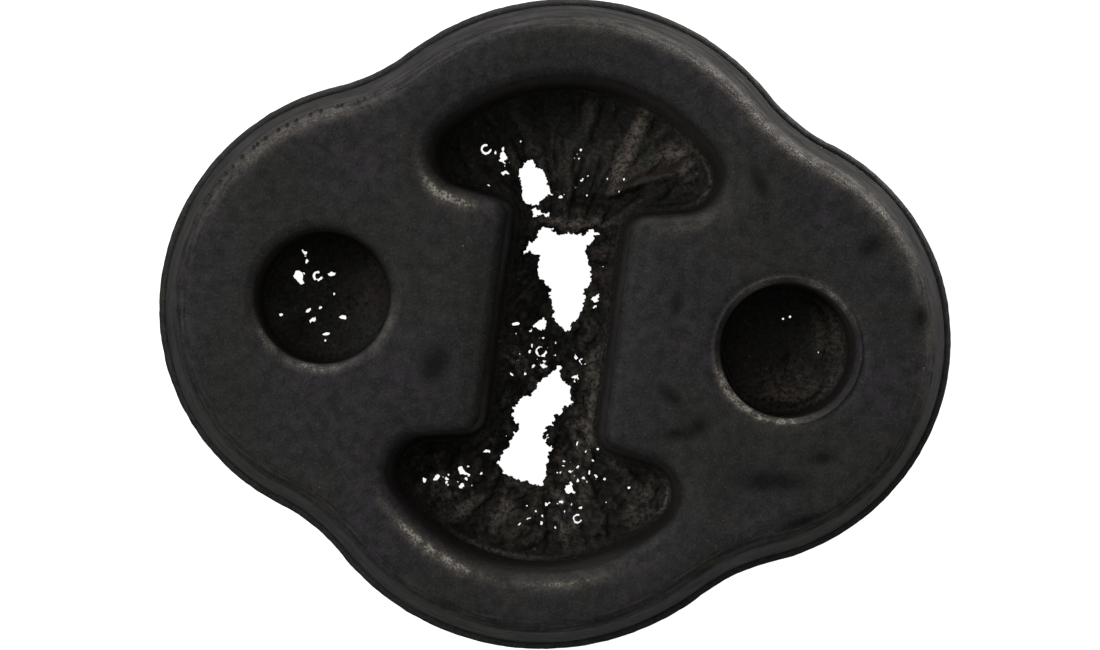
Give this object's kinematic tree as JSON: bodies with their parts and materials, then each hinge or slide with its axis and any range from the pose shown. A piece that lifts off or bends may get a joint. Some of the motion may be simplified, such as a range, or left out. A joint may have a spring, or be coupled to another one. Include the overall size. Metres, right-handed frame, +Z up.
{
  "type": "exhaust hanger",
  "caption": "Moulded black rubber block that hangs an exhaust pipe from a car, with a bore at each end for the hanger rods and an I-shaped relief slot between them.",
  "frame": {"origin": "middle of the footprint on the lower face, where the hanger lies flat", "axes": "+Z up along the axes of both bores, +X along the line through the bores, +Y along the relief slot"},
  "size_m": [0.0744, 0.0612, 0.03],
  "materials": {
    "rubber": "matte moulded rubber with a thin bloom, scuffed faces and untrimmed mould flash"
  },
  "bodies": {
    "root": {"hanger_body": "rubber"}
  },
  "joints": []
}
